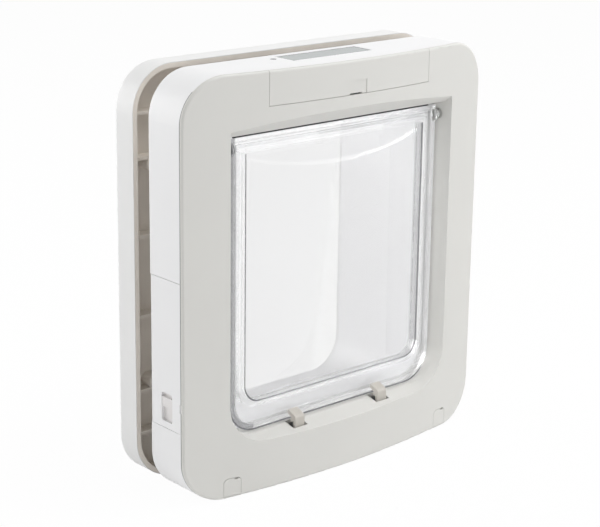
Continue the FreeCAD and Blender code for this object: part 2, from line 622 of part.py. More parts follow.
def outer_frame():
    """Outer half: rimmed shell open to the door, ribs, bosses and the sleeve round the tunnel."""
    body = new_body("outer_shell")
    pad(body, "XZ_Plane", at_depth(OUTER_NEAR), "outer_depth", shell_outline("0"))
    far = value(at_depth(OUTER_FAR))
    tolerance = value("seam") / 10
    round_edges(body, "outer_round", lambda edge: all(abs(v.Point.y - far) < tolerance
                                                      for v in edge.Vertexes))
    pocket(body, "XZ_Plane", at_depth(OUTER_NEAR), "outer_depth - outer_wall",
           shell_outline("outer_wall"))
    sleeve = "tunnel_wall + seam + sleeve_wall"
    pad(body, "XZ_Plane", at_depth(OUTER_NEAR), "outer_depth + sleeve_out", tunnel_outline(sleeve))
    ribs = []
    far_face = "%s - outer_wall / 2" % OUTER_FAR
    rib_start = "%s - outer_wall - rib_depth" % OUTER_FAR
    for name, side in (("left", "-1"), ("right", "1")):
        spots = ["height / 2 + rib_pitch", "height / 2 - rib_pitch", "height / 2 + rib_outer",
                 "height / 2 - rib_outer", "height / 2 + rib_far", "height / 2 - rib_far"]
        ends = ("tunnel_half + tunnel_wall", "width / 2 - outer_wall / 2")
        span = tuple("%s * (%s)" % (side, e) for e in (ends if side == "1" else ends[::-1]))
        for number, z in enumerate(spots, start=1):
            ribs.append(block("outer_rib_%s_%d" % (name, number), span, (rib_start, far_face),
                              ("%s - rib_thick / 2" % z, "%s + rib_thick / 2" % z)))
        for level, (low, high) in (("high", ("tunnel_roof + tunnel_wall", "height - outer_wall / 2")),
                                   ("low", ("outer_wall / 2", "tunnel_floor - tunnel_wall"))):
            for step in ("0.5", "1.5"):
                x = "%s * rib_pitch * %s" % (side, step)
                ribs.append(block("outer_rib_%s_%s_%s" % (name, level, step[0]),
                                  ("%s - rib_thick / 2" % x, "%s + rib_thick / 2" % x),
                                  (rib_start, far_face), (low, high)))
    bosses = []
    pilots = []
    for number, (x, z) in enumerate(FIXINGS, start=1):
        bosses.append(stub("outer_boss_%d" % number, x, ("%s + seam" % OUTER_NEAR, far_face), z,
                           "outer_boss"))
        pilots.append(stub("outer_pilot_%d" % number, x,
                           ("%s - skin" % OUTER_NEAR, "%s + screw_bite + skin" % OUTER_NEAR), z,
                           "screw_radius + run_gap"))
    spare = [("%s * spare_boss_x" % s, "height / 2 + %s * spare_boss_z" % t)
             for s in ("-1", "1") for t in ("-1", "1")]
    for number, (x, z) in enumerate(spare, start=1):
        bosses.append(stub("spare_boss_%d" % number, x, (rib_start, far_face), z, "outer_boss"))
        pilots.append(stub("spare_pilot_%d" % number, x, ("%s - skin" % OUTER_NEAR,
                                                          "%s - outer_wall - skin" % OUTER_FAR), z,
                           "pilot_radius"))
    whole = joined("outer_whole", "Part::MultiFuse", [body] + ribs + bosses)
    way = new_body("outer_way")
    pad(way, "XZ_Plane", at_depth("%s - skin" % OUTER_NEAR), "outer_depth + sleeve_out + 2 * skin",
        tunnel_outline("tunnel_wall + seam"))
    return cut_out("outer_frame", whole, [way] + pilots)


def flap_outline(inset, low, turn):
    """The flap's outline drawn in by the inset, with square upper corners."""
    side = "flap_half - (%s)" % inset
    high = "header_top - (%s)" % inset
    return [("-(%s)" % side, high), ("-(%s)" % side, low, turn), (side, low, turn), (side, high)]


def flap():
    """Clear moulding: channelled rim, header, thick lower bar, bowed pane and two pivot pins."""
    base = "(sill_top + flap_gap)"
    body = new_body("flap_rim")
    pad(body, "XZ_Plane", at_depth("flap_front"), "flap_depth",
        flap_outline("0", base, "flap_radius"))
    tolerance = value("seam") / 10
    front = value(at_depth("flap_front"))
    step = flap_outline("step_width", "%s + step_width" % base, "flap_radius - step_width")
    band = new_sketch(body, "XZ_Plane", at_depth("flap_front"))
    draw_outline(band, flap_outline("-skin", "%s - skin" % base, "flap_radius + skin"))
    draw_outline(band, step)
    extrude(body, band, "PartDesign::Pocket", False, "rim_step")
    round_edges(body, "rim_step / 2", lambda edge: all(abs(v.Point.y - front) < tolerance
                                                       for v in edge.Vertexes))
    side = "flap_half - rim_width"
    sill = "%s + bar_height" % base
    head = "header_top - header_height"
    opening = [("-(%s)" % side, head), ("-(%s)" % side, sill, "pane_radius"),
               (side, sill, "pane_radius"), (side, head)]
    pocket(body, "XZ_Plane", at_depth("flap_front"), "flap_depth", opening)
    for step in ("0", "1"):
        high = "header_top - groove_first - %s * groove_pitch" % step
        low = "%s - groove_width" % high
        pocket(body, "XZ_Plane", at_depth("flap_front"), "groove_depth",
               [("-(%s)" % side, low), (side, low), (side, high), ("-(%s)" % side, high)])
    groove = new_sketch(body, "XZ_Plane", at_depth("flap_front + flap_depth - channel_depth"))
    inner = "rim_width - (rim_width - channel_width) / 2"
    lower = "%s + bar_height - (rim_width - channel_width) / 2" % base
    outer = "(rim_width - channel_width) / 2"
    low = "%s + (rim_width - channel_width) / 2" % base
    tall = "header_top - header_height + (rim_width - channel_width) / 2"
    narrow = "flap_half - (%s)" % inner
    draw_outline(groove, flap_outline(outer, low, "flap_radius - %s" % outer))
    draw_outline(groove, [("-(%s)" % narrow, tall), ("-(%s)" % narrow, lower, "pane_radius + pane_thick"),
                          (narrow, lower, "pane_radius + pane_thick"), (narrow, tall)])
    extrude(body, groove, "PartDesign::Pocket", False, "channel_depth")
    for place in ("-flap_half - pin_length", "flap_half - skin"):
        rod(body, "YZ_Plane", place, "pin_length + skin", (at_depth("pivot_depth"), "pivot_height"),
            "pin_radius")
    for place in ("-flap_half", "flap_half - ear_thick"):
        rod(body, "YZ_Plane", place, "ear_thick", (at_depth("pivot_depth"), "pivot_height"),
            "ear_radius")
    sheet_body = new_body("flap_pane")
    pad(sheet_body, "XZ_Plane", at_depth("flap_front + pane_set"), "pane_thick",
        [("-(%s) - skin / 2" % side, "%s + skin / 2" % head),
         ("-(%s) - skin / 2" % side, "%s - skin / 2" % sill, "pane_radius"),
         ("%s + skin / 2" % side, "%s - skin / 2" % sill, "pane_radius"),
         ("%s + skin / 2" % side, "%s + skin / 2" % head)])
    bulge = pane_bulge("pane_bulge", "0", side, sill, head)
    hollow = pane_bulge("pane_hollow", "pane_thick", side, sill, head)
    solid = joined("flap_whole", "Part::MultiFuse", [body, sheet_body, bulge])
    return cut_out("flap", solid, [hollow])


def pane_bulge(label, behind, side, sill, head):
    """The bowed middle of the pane, cut off by slopes along the crest and the lower edge."""
    edge = "flap_front + pane_set + (%s)" % behind
    half = "(%s) - seam" % side
    radius = "((%s) * (%s) + pane_bow * pane_bow) / (2 * pane_bow)" % (half, half)
    body = new_body(label)
    sketch = new_sketch(body, "XY_Plane", sill)
    draw_bowed(sketch, radius, at_depth("%s - pane_bow + %s" % (edge, radius)), half,
               at_depth("%s + pane_thick / 2" % edge))
    extrude(body, sketch, "PartDesign::Pad", False, "(%s) - (%s)" % (head, sill))
    front = at_depth("%s - pane_bow - skin" % edge)
    crest = "%s - crest_start" % head
    fall = "crest_drop / pane_bow"
    reach_out = "(pane_bow + skin)"
    pocket(body, "YZ_Plane", "-flap_half", "2 * flap_half",
           [(at_depth(edge), crest), (at_depth("%s + pane_thick" % edge), crest),
            (at_depth("%s + pane_thick" % edge), "header_top"), (front, "header_top"),
            (front, "%s - %s * %s" % (crest, fall, reach_out))])
    pocket(body, "YZ_Plane", "-flap_half", "2 * flap_half",
           [(at_depth(edge), sill), (front, "%s + %s" % (sill, reach_out)),
            (front, "%s - skin" % sill), (at_depth(edge), "%s - skin" % sill)])
    flat = value(at_depth(edge))
    round_edges(body, "crease_round", lambda edge: edge.Curve.TypeId != "Part::GeomLine"
                and min(p.y for p in edge.discretize(5)) < flat - value("seam"))
    corners = new_body(label + "_window")
    pad(corners, "XZ_Plane", front, "pane_bow + 2 * pane_thick + skin",
        [("-(%s)" % half, head), ("-(%s)" % half, sill, "pane_radius"),
         (half, sill, "pane_radius"), (half, head)])
    return joined(label + "_shape", "Part::MultiCommon", [body, corners])


def pivot_bush(name, side):
    """Plain bearing in the upper corner of the recess."""
    inner = "(recess_half - pin_length - seam)"
    body = new_body("bush_" + name)
    start = "-recess_half - skin / 2" if side else inner
    length = "pin_length + seam + skin / 2"
    centre = (at_depth("pivot_depth"), "pivot_height")
    rod(body, "YZ_Plane", start, length, centre, "bush_radius")
    bore(body, "YZ_Plane", start, length, centre, "pin_radius + run_gap")
    body.Label = "pivot_bush_" + name
    return body


def latch(name, side):
    """Leaning hook on a round plunger."""
    body = new_body("latch_hook_" + name)
    x = "%slatch_place - latch_width / 2" % side
    foot = "shell_wall + coil_height + latch_travel + latch_gap"
    tip = "sill_top + latch_height"
    near = "-latch_lean - latch_thick / 2"
    far = "flap_front - latch_gap"
    profile = [(at_depth(near), foot), (at_depth("%s + latch_thick" % near), foot),
               (at_depth("%s + latch_thick" % near), "sill_top + hook_knee - latch_thick", "latch_thick / 2"),
               (at_depth(far), "%s - hook_nose" % tip), (at_depth(far), tip, "latch_thick / 4"),
               (at_depth(near), "sill_top + hook_knee", "latch_thick")]
    pad(body, "YZ_Plane", x, "latch_width", profile)
    end = "shell_wall + latch_travel + 4 * latch_gap"
    rod(body, "XY_Plane", end, "%s - (%s) + latch_gap" % (foot, end),
        ("%slatch_place" % side, at_depth("-latch_lean")), "plunger_radius")
    body.Label = "latch_" + name
    return body


def latch_coil(name, side):
    """Solenoid frame on the housing's floor, with the plunger's bore."""
    body = new_body("coil_block_" + name)
    half = "coil_width / 2"
    x = "%slatch_place" % side
    pad(body, "XY_Plane", "shell_wall", "coil_height",
        [("%s - %s" % (x, half), at_depth("-latch_lean - coil_depth / 2")),
         ("%s + %s" % (x, half), at_depth("-latch_lean - coil_depth / 2")),
         ("%s + %s" % (x, half), at_depth("-latch_lean + coil_depth / 2")),
         ("%s - %s" % (x, half), at_depth("-latch_lean + coil_depth / 2"))])
    bore(body, "XY_Plane", "shell_wall", "coil_height", (x, at_depth("-latch_lean")),
         "plunger_radius + run_gap")
    body.Label = "latch_coil_" + name
    return body


def cross_slot(label, x, z, span):
    """The cross recess in a screw head."""
    bars = [block(label + "_bar_1", ("%s - drive_reach" % x, "%s + drive_reach" % x), span,
                  ("%s - drive_width / 2" % z, "%s + drive_width / 2" % z)),
            block(label + "_bar_2", ("%s - drive_width / 2" % x, "%s + drive_width / 2" % x), span,
                  ("%s - drive_reach" % z, "%s + drive_reach" % z))]
    return joined(label, "Part::MultiFuse", bars)


def fixing_screws():
    """Four long screws that clamp the two halves through the door."""
    screws = []
    for number, (x, z) in enumerate(FIXINGS, start=1):
        body = new_body("fixing_%d" % number)
        rod(body, "XZ_Plane", at_depth("head_place - head_thick"), "head_thick", (x, z), "head_radius")
        front = value(at_depth("head_place - head_thick"))
        near = value("seam") / 10
        round_edges(body, "head_thick / 3", lambda edge: all(abs(v.Point.y - front) < near
                                                             for v in edge.Vertexes))
        rod(body, "XZ_Plane", at_depth("head_place"), "%s + screw_bite - head_place" % OUTER_NEAR,
            (x, z), "screw_radius")
        slot = cross_slot("fixing_drive_%d" % number, x, z,
                          ("head_place - head_thick - skin", "head_place - head_thick + drive_depth"))
        screws.append(cut_out("fixing_screw_%d" % number, body, [slot]))
    return grouped("fixing_screws", screws)


def rear_screws(label, spots, tip, seat, shank, head, head_length):
    """Small screws driven from the door side, all in one group."""
    screws = []
    for number, (x, z) in enumerate(spots, start=1):
        body = new_body("%s_%d" % (label, number))
        rod(body, "XZ_Plane", at_depth(tip), "(%s) - (%s)" % (seat, tip), (x, z), shank)
        rod(body, "XZ_Plane", at_depth(seat), head_length, (x, z), head)
        screws.append(body)
    return grouped(label, screws)


def side_panel():
    """Flush panel in the left side with the slot for the lock slider and a pry notch."""
    body = new_body("side_cover")
    low = "panel_base + seam"
    high = "panel_base + panel_height - seam"
    near, far = at_depth("cover_edge + seam"), at_depth("inner_depth - edge_round")
    pad(body, "YZ_Plane", "-width / 2", "panel_thick", [(near, low), (far, low), (far, high),
                                                        (near, high)])
    pocket(body, "YZ_Plane", "-width / 2", "panel_thick",
           [(at_depth(d), z, "slot_round") for d, z in (("slot_near", "slot_base"),
            ("slot_near + slot_depth", "slot_base"),
            ("slot_near + slot_depth", "slot_base + slot_height"),
            ("slot_near", "slot_base + slot_height"))])
    notch = "slot_base + slot_height / 2"
    pocket(body, "YZ_Plane", "-width / 2", "panel_thick / 2",
           [(near, notch), (at_depth("cover_edge + seam + pry_depth"), notch),
            (at_depth("cover_edge + seam + pry_depth"), "%s + pry_height" % notch),
            (near, "%s + pry_height" % notch)])
    body.Label = "side_panel"
    return body


def side_slider():
    """Lock slider: a plain thumb block, a guide plate behind the panel and a lever for the switch."""
    top = "slot_base + slot_height - slider_rest"
    base = "%s - slider_height" % top
    body = new_body("slider_block")
    near = at_depth("slot_near + seam")
    far = at_depth("slot_near + slot_depth - seam")
    rise = "panel_thick + seam / 3 - slider_sunk"
    pad(body, "YZ_Plane", "-width / 2 + slider_sunk", rise,
        [(near, base), (far, base), (far, top), (near, top)])
    pad(body, "YZ_Plane", "-width / 2 + panel_thick + seam / 3", "slider_plate - seam",
        [(at_depth("slot_near - plate_reach"), "%s - plate_below" % base),
         (at_depth("slot_near + slot_depth + plate_reach"), "%s - plate_below" % base),
         (at_depth("slot_near + slot_depth + plate_reach"), "%s + plate_above" % top),
         (at_depth("slot_near - plate_reach"), "%s + plate_above" % top)])
    middle = (at_depth("slot_near + slot_depth / 2"), "%s - slider_height / 2" % top)
    rod(body, "YZ_Plane", "-width / 2 + panel_thick", "slider_plate + switch_thick / 2", middle,
        "switch_lever")
    body.Label = "side_slider"
    return body


def mode_switch():
    """Slide switch behind the side panel, with the slot that the slider's lever rides in."""
    body = new_body("switch_case")
    low = "slot_base - plate_reach"
    high = "slot_base + slot_height + plate_reach"
    near = at_depth("slot_near - plate_reach")
    far = at_depth("slot_near + slot_depth + 2 * plate_reach + seam")
    pad(body, "YZ_Plane", "-width / 2 + shell_wall + seam", "switch_thick",
        [(near, low), (far, low), (far, high), (near, high)])
    half = "switch_lever + seam"
    middle = "slot_near + slot_depth / 2"
    top = "slot_base + slot_height - slider_rest - slider_height / 2 + %s" % half
    base = "%s - slider_travel - 2 * (%s)" % (top, half)
    pocket(body, "YZ_Plane", "-width / 2 + shell_wall + seam", "switch_groove",
           [(at_depth("%s - (%s)" % (middle, half)), base), (at_depth("%s + %s" % (middle, half)), base),
            (at_depth("%s + %s" % (middle, half)), top), (at_depth("%s - (%s)" % (middle, half)), top)])
    body.Label = "mode_switch"
    return body


def screen_window():
    """Flush window over the display, on a ledge in the top wall."""
    return block("lcd_window", ("-screen_half + seam / 2", "screen_half - seam / 2"),
                 ("screen_near + seam / 2", "screen_near + screen_depth - seam / 2"),
                 ("height - screen_glass - seam / 2", "height - seam / 2"))


def screen_module():
    """Display under the top wall, with its glass raised into the opening."""
    top = "height - shell_wall - seam"
    frame = block("module_frame", ("-screen_half - screen_frame", "screen_half + screen_frame"),
                  ("screen_near - screen_frame / 2", "screen_near + screen_depth + screen_frame / 2"),
                  ("%s - module_thick" % top, top))
    glass = block("module_glass", ("-screen_half + 1.5 * box_wall", "screen_half - 1.5 * box_wall"),
                  ("screen_near + 1.5 * box_wall", "screen_near + screen_depth - 1.5 * box_wall"),
                  ("%s - module_thick / 2" % top, "height - screen_glass - seam"))
    return joined("lcd_module", "Part::MultiFuse", [frame, glass])


def sensor_window():
    """Dark lens of the light sensor in the top wall."""
    body = new_body("sensor_lens")
    rod(body, "XY_Plane", "height - shell_wall", "shell_wall - seam / 3",
        ("sensor_x", at_depth("sensor_depth")), "sensor_radius - run_gap")
    body.Label = "sensor_window"
    return body


def circuit_board():
    """Main board on two feet of the back wall, with three chips."""
    rear = "%s - 2 * board_thick" % INNER_BACK
    plate = block("board_plate", ("-board_half", "board_half"), ("%s - board_thick" % rear, rear),
                  ("board_base", "board_base + board_height"))
    chips = []
    for number, x in enumerate(("-board_half / 2", "0", "board_half / 2"), start=1):
        chips.append(block("board_chip_%d" % number, ("%s - chip_size / 2" % x, "%s + chip_size / 2" % x),
                           ("%s - board_thick - chip_thick" % rear, "%s - board_thick / 2" % rear),
                           ("board_base + board_height / 2 - chip_size / 2",
                            "board_base + board_height / 2 + chip_size / 2")))
    return joined("circuit_board", "Part::MultiFuse", [plate] + chips)


BOX_HALF = "(cell_length + cell_slack)"
CELL_LOW = "(battery_sill + seam + box_wall)"
CELL_HEIGHT = "(battery_sill + seam + box_wall + cell_radius + seam / 2)"
CELL_ROWS = ["(box_front + cell_radius + seam)", "(box_front + 3 * cell_radius + 2 * seam)"]


def battery_box():
    """Tray for four cells, open to the front, with end walls up to the top and two side wings."""
    floor = "battery_sill + seam"
    body = new_body("box_tray")
    pad(body, "YZ_Plane", "-%s - box_wall" % BOX_HALF, "2 * (%s + box_wall)" % BOX_HALF,
        [(at_depth("box_front"), floor), (at_depth("box_rear + box_wall"), floor),
         (at_depth("box_rear + box_wall"), "%s + cell_radius" % CELL_HEIGHT),
         (at_depth("box_rear"), "%s + cell_radius" % CELL_HEIGHT), (at_depth("box_rear"), CELL_LOW),
         (at_depth("box_front"), CELL_LOW)])
    pieces = [body]
    for name, sign in (("left", "-1"), ("right", "1")):
        near, far = BOX_HALF, "%s + box_wall" % BOX_HALF
        ends = (near, far) if sign == "1" else (far, near)
        span = tuple("%s * (%s)" % (sign, e) for e in ends)
        pieces.append(block("box_end_" + name, span, ("cover_edge + 2 * seam", "box_rear + box_wall"),
                            (floor, "height - shell_wall")))
        pieces.append(block("box_cheek_" + name, span, ("box_front", "cover_edge + 3 * seam"),
                            (floor, "button_height + button_radius + seam")))
        ends = (far, "wing_half") if sign == "1" else ("wing_half", far)
        span = tuple("%s * (%s)" % (sign, e) for e in ends)
        pieces.append(block("box_wing_" + name, span, ("box_front", "box_front + wing_thick"),
                            (floor, "button_height + button_radius + 2 * seam")))
        for number, reach in enumerate(("-1", "1"), start=1):
            x = "%s * high_screw_x + %s * (button_radius + 3 * wing_thick / 2)" % (sign, reach)
            pieces.append(block("board_post_%s_%d" % (name, number),
                                ("%s - wing_thick / 3" % x, "%s + wing_thick / 3" % x),
                                ("box_front + wing_thick / 2", BUTTON_BOARD),
                                ("button_height - button_radius", "button_height + button_radius")))
    whole = joined("box_whole", "Part::MultiFuse", pieces)
    cuts = []
    for name, side in (("left", "-"), ("right", "")):
        x = "%shigh_screw_x" % side
        cuts.append(stub("box_screw_way_" + name, x, ("box_front - skin", "box_front + 2 * wing_thick"),
                         "high_screw_z", "head_radius + seam"))
        cuts.append(stub("box_button_way_" + name, x, ("box_front - skin", "box_front + 1.5 * wing_thick"),
                         "button_height", "button_radius + seam / 2"))
    return cut_out("battery_box", whole, cuts)


BUTTON_BOARD = "(box_front - button_proud + button_length + button_travel + seam / 3 + wing_thick * 2)"


def button_boards():
    """Two small boards, each with the push switch behind a button."""
    boards = []
    for name, side in (("left", "-"), ("right", "")):
        x = "%shigh_screw_x" % side
        half = "button_radius + 2 * wing_thick"
        plate = block("button_plate_" + name, ("%s - (%s)" % (x, half), "%s + %s" % (x, half)),
                      (BUTTON_BOARD, "%s + board_thick" % BUTTON_BOARD),
                      ("button_height - button_radius", "button_height + button_radius + seam"))
        case = block("button_switch_" + name, ("%s - switch_size / 2" % x, "%s + switch_size / 2" % x),
                     ("%s - 2 * wing_thick" % BUTTON_BOARD, "%s + board_thick / 2" % BUTTON_BOARD),
                     ("button_height - button_radius", "button_height + button_radius"))
        boards.append(joined("button_board_" + name, "Part::MultiFuse", [plate, case]))
    return grouped("button_boards", boards)


def button(name, side):
    """Push button with a retaining collar behind the wing."""
    body = new_body("button_cap_" + name)
    centre = ("%shigh_screw_x" % side, "button_height")
    start = "box_front - button_proud"
    rod(body, "XZ_Plane", at_depth(start), "button_length", centre, "button_radius")
    front = value(at_depth(start))
    near = value("seam") / 10
    round_edges(body, "button_radius / 5", lambda edge: all(abs(v.Point.y - front) < near
                                                            for v in edge.Vertexes))
    rod(body, "XZ_Plane", at_depth("box_front + wing_thick + seam / 3"), "wing_thick / 2", centre,
        "button_radius + 2 * seam")
    body.Label = "button_" + name
    return body


def batteries():
    """Four cells in two rows, head to tail."""
    cells = []
    for number, (row, sign) in enumerate(((CELL_ROWS[0], 1), (CELL_ROWS[1], -1)), start=1):
        centre = (at_depth(row), CELL_HEIGHT)
        starts = ["-cell_length - cell_nub", "0"]
        nubs = ["-cell_nub", "cell_length"]
        if sign < 0:
            starts = ["-cell_length", "cell_nub"]
            nubs = ["-cell_length - cell_nub", "0"]
        for place, (start, nub) in enumerate(zip(starts, nubs), start=1):
            body = new_body("cell_%d_%d" % (number, place))
            rod(body, "YZ_Plane", start, "cell_length", centre, "cell_radius")
            rod(body, "YZ_Plane", nub, "cell_nub", centre, "nub_radius")
            cells.append(body)
    return grouped("batteries", cells)


def battery_contacts():
    """A spring and a plate for each end of each row."""
    pieces = []
    for row, turned in ((0, False), (1, True)):
        for end in ("left", "right"):
            sprung = (end == "left") != turned
            face = "cell_length + cell_nub"
            wall = BOX_HALF
            thick = "box_wall / 3"
            plate_ends = ("%s - %s" % (wall, thick), wall)
            if end == "left":
                plate_ends = ("-%s" % wall, "-%s + %s" % (wall, thick))
            low = "%s - cell_radius / 1.5" % CELL_HEIGHT
            high = "%s + cell_radius / 1.5" % CELL_HEIGHT
            name = "contact_%s_%d" % (end, row + 1)
            plate = block(name + "_plate", plate_ends,
                          tuple("%s %s cell_radius / 1.5" % (CELL_ROWS[row], sign) for sign in "-+"),
                          (low, high))
            body = new_body(name + "_stem")
            start = face if end == "right" else "-%s + %s / 2" % (wall, thick)
            length = "%s - %s / 2 - (%s)" % (wall, thick, face)
            rod(body, "YZ_Plane", start, length, (at_depth(CELL_ROWS[row]), CELL_HEIGHT),
                "spring_radius" if sprung else "nub_radius")
            pieces.append(joined(name, "Part::MultiFuse", [plate, body]))
    return grouped("battery_contacts", pieces)


def battery_cover(plate):
    """Lift-off panel in the bowed face, with the thumb recess and the finger notch."""
    region = block("cover_region", ("-battery_half", "battery_half"), ("-bow - skin", "cover_edge"),
                   ("battery_sill + seam", "height"))
    blank = joined("battery_blank", "Part::MultiCommon", [plate, region])
    room = bowed_block("battery_room", "battery_panel", "battery_half + skin", "cover_edge + skin",
                       "battery_sill - skin", "height + skin")
    thumb = block("thumb_region", ("-thumb_half", "thumb_half"), ("-bow - skin", "cover_edge"),
                  ("battery_sill - skin", "battery_sill + thumb_height"))
    floor = bowed_block("thumb_floor", "thumb_depth", "battery_half", "cover_edge + skin",
                        "battery_sill - 2 * skin", "height")
    shallow = cut_out("thumb_recess", thumb, [floor])
    notch = block("finger_notch", ("-notch_half", "notch_half"), ("-bow - skin", "cover_edge"),
                  ("battery_sill - skin", "battery_sill + notch_height"))
    return cut_out("battery_cover", blank, [room, rim_rabbet("battery_rabbet"), shallow, notch])


def antenna_coil():
    """Reader loop wound round the passage, just behind the flap."""
    body = new_body("reader_loop")
    sketch = new_sketch(body, "XZ_Plane", at_depth("loop_near"))
    draw_outline(sketch, tunnel_outline("tunnel_wall + loop_gap + loop_thick"))
    draw_outline(sketch, tunnel_outline("tunnel_wall + loop_gap"))
    extrude(body, sketch, "PartDesign::Pad", True, "loop_depth")
    body.Label = "antenna_coil"
    return body


def main():
    """Every sub-part, from the two halves to the small pieces inside."""
    plate = bowed_blank()
    nodes = [front_cover(plate), inner_housing(), tunnel(), outer_frame(), flap()]
    nodes += each_side(pivot_bush) + each_side(latch) + each_side(latch_coil) + each_side(corner_cap)
    nodes += [fixing_screws(), side_panel(), side_slider(), mode_switch(), screen_window(),
              screen_module(), sensor_window(), circuit_board(), battery_box(), button_boards(),
              batteries(), battery_contacts(), battery_cover(plate), antenna_coil()]
    nodes += each_side(button)
    nodes.append(rear_screws("cover_screws", POSTS, "post_meet - post_bite + 2 * seam",
                             "post_meet + 2 * skin", "post_screw", "post_head", "post_head_thick"))
    nodes.append(rear_screws("tunnel_screws", FLANGE_SCREWS, "%s - flange_thick" % INNER_BACK,
                             "inner_depth - flange_head_thick - seam / 3", "flange_screw", "flange_head",
                             "flange_head_thick"))
    return nodes


def export(nodes):
    """Check the document, then write one file for each sub-part."""
    doc.recompute()
    for thing in doc.Objects:
        if "Invalid" in thing.State or "Error" in thing.State:
            raise ValueError("%s failed: %s" % (thing.Label, thing.State))
    for node in nodes:
        if node.Shape.isNull() or not node.Shape.isValid():
            raise ValueError("%s has no valid shape" % node.Label)
    os.makedirs("parts", exist_ok=True)
    for node in nodes:
        node.Shape.exportStep("parts/%s.step" % node.Label)


export(main())
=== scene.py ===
import math

import bmesh
import bpy
from mathutils import Matrix, Vector


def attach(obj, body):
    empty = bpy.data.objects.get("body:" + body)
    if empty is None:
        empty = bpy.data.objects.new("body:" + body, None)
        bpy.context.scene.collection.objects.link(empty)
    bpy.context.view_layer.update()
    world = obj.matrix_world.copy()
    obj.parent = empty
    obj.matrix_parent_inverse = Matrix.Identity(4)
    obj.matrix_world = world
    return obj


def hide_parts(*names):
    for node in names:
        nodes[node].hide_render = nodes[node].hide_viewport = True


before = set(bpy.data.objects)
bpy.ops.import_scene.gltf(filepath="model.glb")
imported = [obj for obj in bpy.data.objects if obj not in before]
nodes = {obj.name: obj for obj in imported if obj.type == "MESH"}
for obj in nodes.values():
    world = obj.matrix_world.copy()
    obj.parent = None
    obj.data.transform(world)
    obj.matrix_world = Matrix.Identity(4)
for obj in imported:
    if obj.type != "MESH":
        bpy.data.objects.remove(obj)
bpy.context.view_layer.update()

# Inner housing: the white shell that screws to the room side of the door and holds all the rest.
# Injection moulded in a hard white plastic. Its mould was spark eroded, which leaves a very fine
# satin grain, and the colour and gloss drift a little over the larger faces.


class Wire:
    """A value or vector in a material. Arithmetic on wires adds Math nodes."""

    def __init__(self, tree, socket):
        self.tree = tree
        self.socket = socket

    def node(self, kind, sockets, output=0, **settings):
        """A new node: its settings first, then the values or wires of its sockets."""
        made = self.tree.nodes.new(kind)
        for name, setting in settings.items():
            setattr(made, name, setting)
        for name, source in sockets.items():
            if isinstance(source, Wire):
                self.tree.links.new(source.socket, made.inputs[name])
            else:
                made.inputs[name].default_value = source
        return Wire(self.tree, made.outputs[output])

    def maths(self, operation, first, second=0.0):
        return self.node("ShaderNodeMath", {0: first, 1: second}, operation=operation)

    def __add__(self, other):
        return self.maths("ADD", self, other)

    def __sub__(self, other):
        return self.maths("SUBTRACT", self, other)

    def __rsub__(self, other):
        return self.maths("SUBTRACT", other, self)

    def __mul__(self, other):
        return self.maths("MULTIPLY", self, other)

    def __truediv__(self, other):
        return self.maths("DIVIDE", self, other)

    def __abs__(self):
        return self.maths("ABSOLUTE", self)

    __radd__ = __add__
    __rmul__ = __mul__

    def larger(self, other):
        return self.maths("MAXIMUM", self, other)

    def axes(self):
        """The three coordinates of a vector."""
        split = self.node("ShaderNodeSeparateXYZ", {0: self}).socket.node
        return [Wire(self.tree, split.outputs[index]) for index in range(3)]

    def noise(self, scale, detail=2.0):
        """Soft random pattern, from 0 to 1, with this many cells to the metre."""
        return self.node("ShaderNodeTexNoise", {"Vector": self, "Scale": scale, "Detail": detail})

    def uneven(self, scale, low, high):
        """Noise that stays between two values."""
        return self.noise(scale) * (high - low) + low

    def between(self, low, high):
        """0 up to the low value, 1 from the high value, and even in between."""
        return self.node("ShaderNodeMapRange", {"Value": self, "From Min": low, "From Max": high})

    def under(self, limit, blur=0.0001):
        """1 below the limit and 0 above it, with a blur on each side of it."""
        return (self - limit).between(blur, -blur)

    def blend(self, first, second):
        """The first colour where the wire is 0 and the second where it is 1."""
        ends = [end if isinstance(end, Wire) else (*end, 1.0) for end in (first, second)]
        return self.node("ShaderNodeMix", {0: self, 6: ends[0], 7: ends[1]}, 2, data_type="RGBA")

    def relief(self, distance, strength=1.0):
        """A normal that shows the wire as height, in metres."""
        return self.node("ShaderNodeBump",
                         {"Height": self, "Distance": distance, "Strength": strength})


def new_finish(name, **fixed):
    """A material with these fixed shader values, and its object coordinates as a wire."""
    material = bpy.data.materials.new(name)
    material.use_nodes = True
    tree = material.node_tree
    shader = tree.nodes["Principled BSDF"]
    for socket, setting in fixed.items():
        shader.inputs[socket.replace("_", " ")].default_value = setting
    coordinates = tree.nodes.new("ShaderNodeTexCoord")
    return material, Wire(tree, coordinates.outputs["Object"])


def feed(material, **wires):
    """Links wires to sockets of the material's shader."""
    tree = material.node_tree
    for socket, wire in wires.items():
        tree.links.new(wire.socket, tree.nodes["Principled BSDF"].inputs[socket.replace("_", " ")])


def shade(colour, factor):
    return tuple(channel * factor for channel in colour)


def drifting(place, colour, scale, darkest, lightest):
    """The colour, in soft patches of a darker and a lighter shade of it."""
    drift = place.noise(scale).between(0.3, 0.7)
    return drift.blend(shade(colour, darkest), shade(colour, lightest))


drift_scale, drift_darkest, drift_lightest = 14.0, 0.985, 1.01
gloss_scale, gloss_drift = 60.0, 0.04
grain_scale, grain_detail = 3200.0, 3.0
grain_depth, grain_strength = 0.000012, 0.6


def moulded(name, colour, roughness, marking=None):
    """Satin moulded plastic: fine spark-eroded grain, and slow drift in colour and gloss.

    A marking is given the coordinates and the plain tone, and returns the marked tone.
    """
    material, place = new_finish(name)
    tone = drifting(place, colour, drift_scale, drift_darkest, drift_lightest)
    if marking:
        tone = marking(place, tone)
    feed(material, Base_Color=tone,
         Roughness=place.uneven(gloss_scale, roughness - gloss_drift, roughness + gloss_drift),
         Normal=place.noise(grain_scale, grain_detail).relief(grain_depth, grain_strength))
    return material


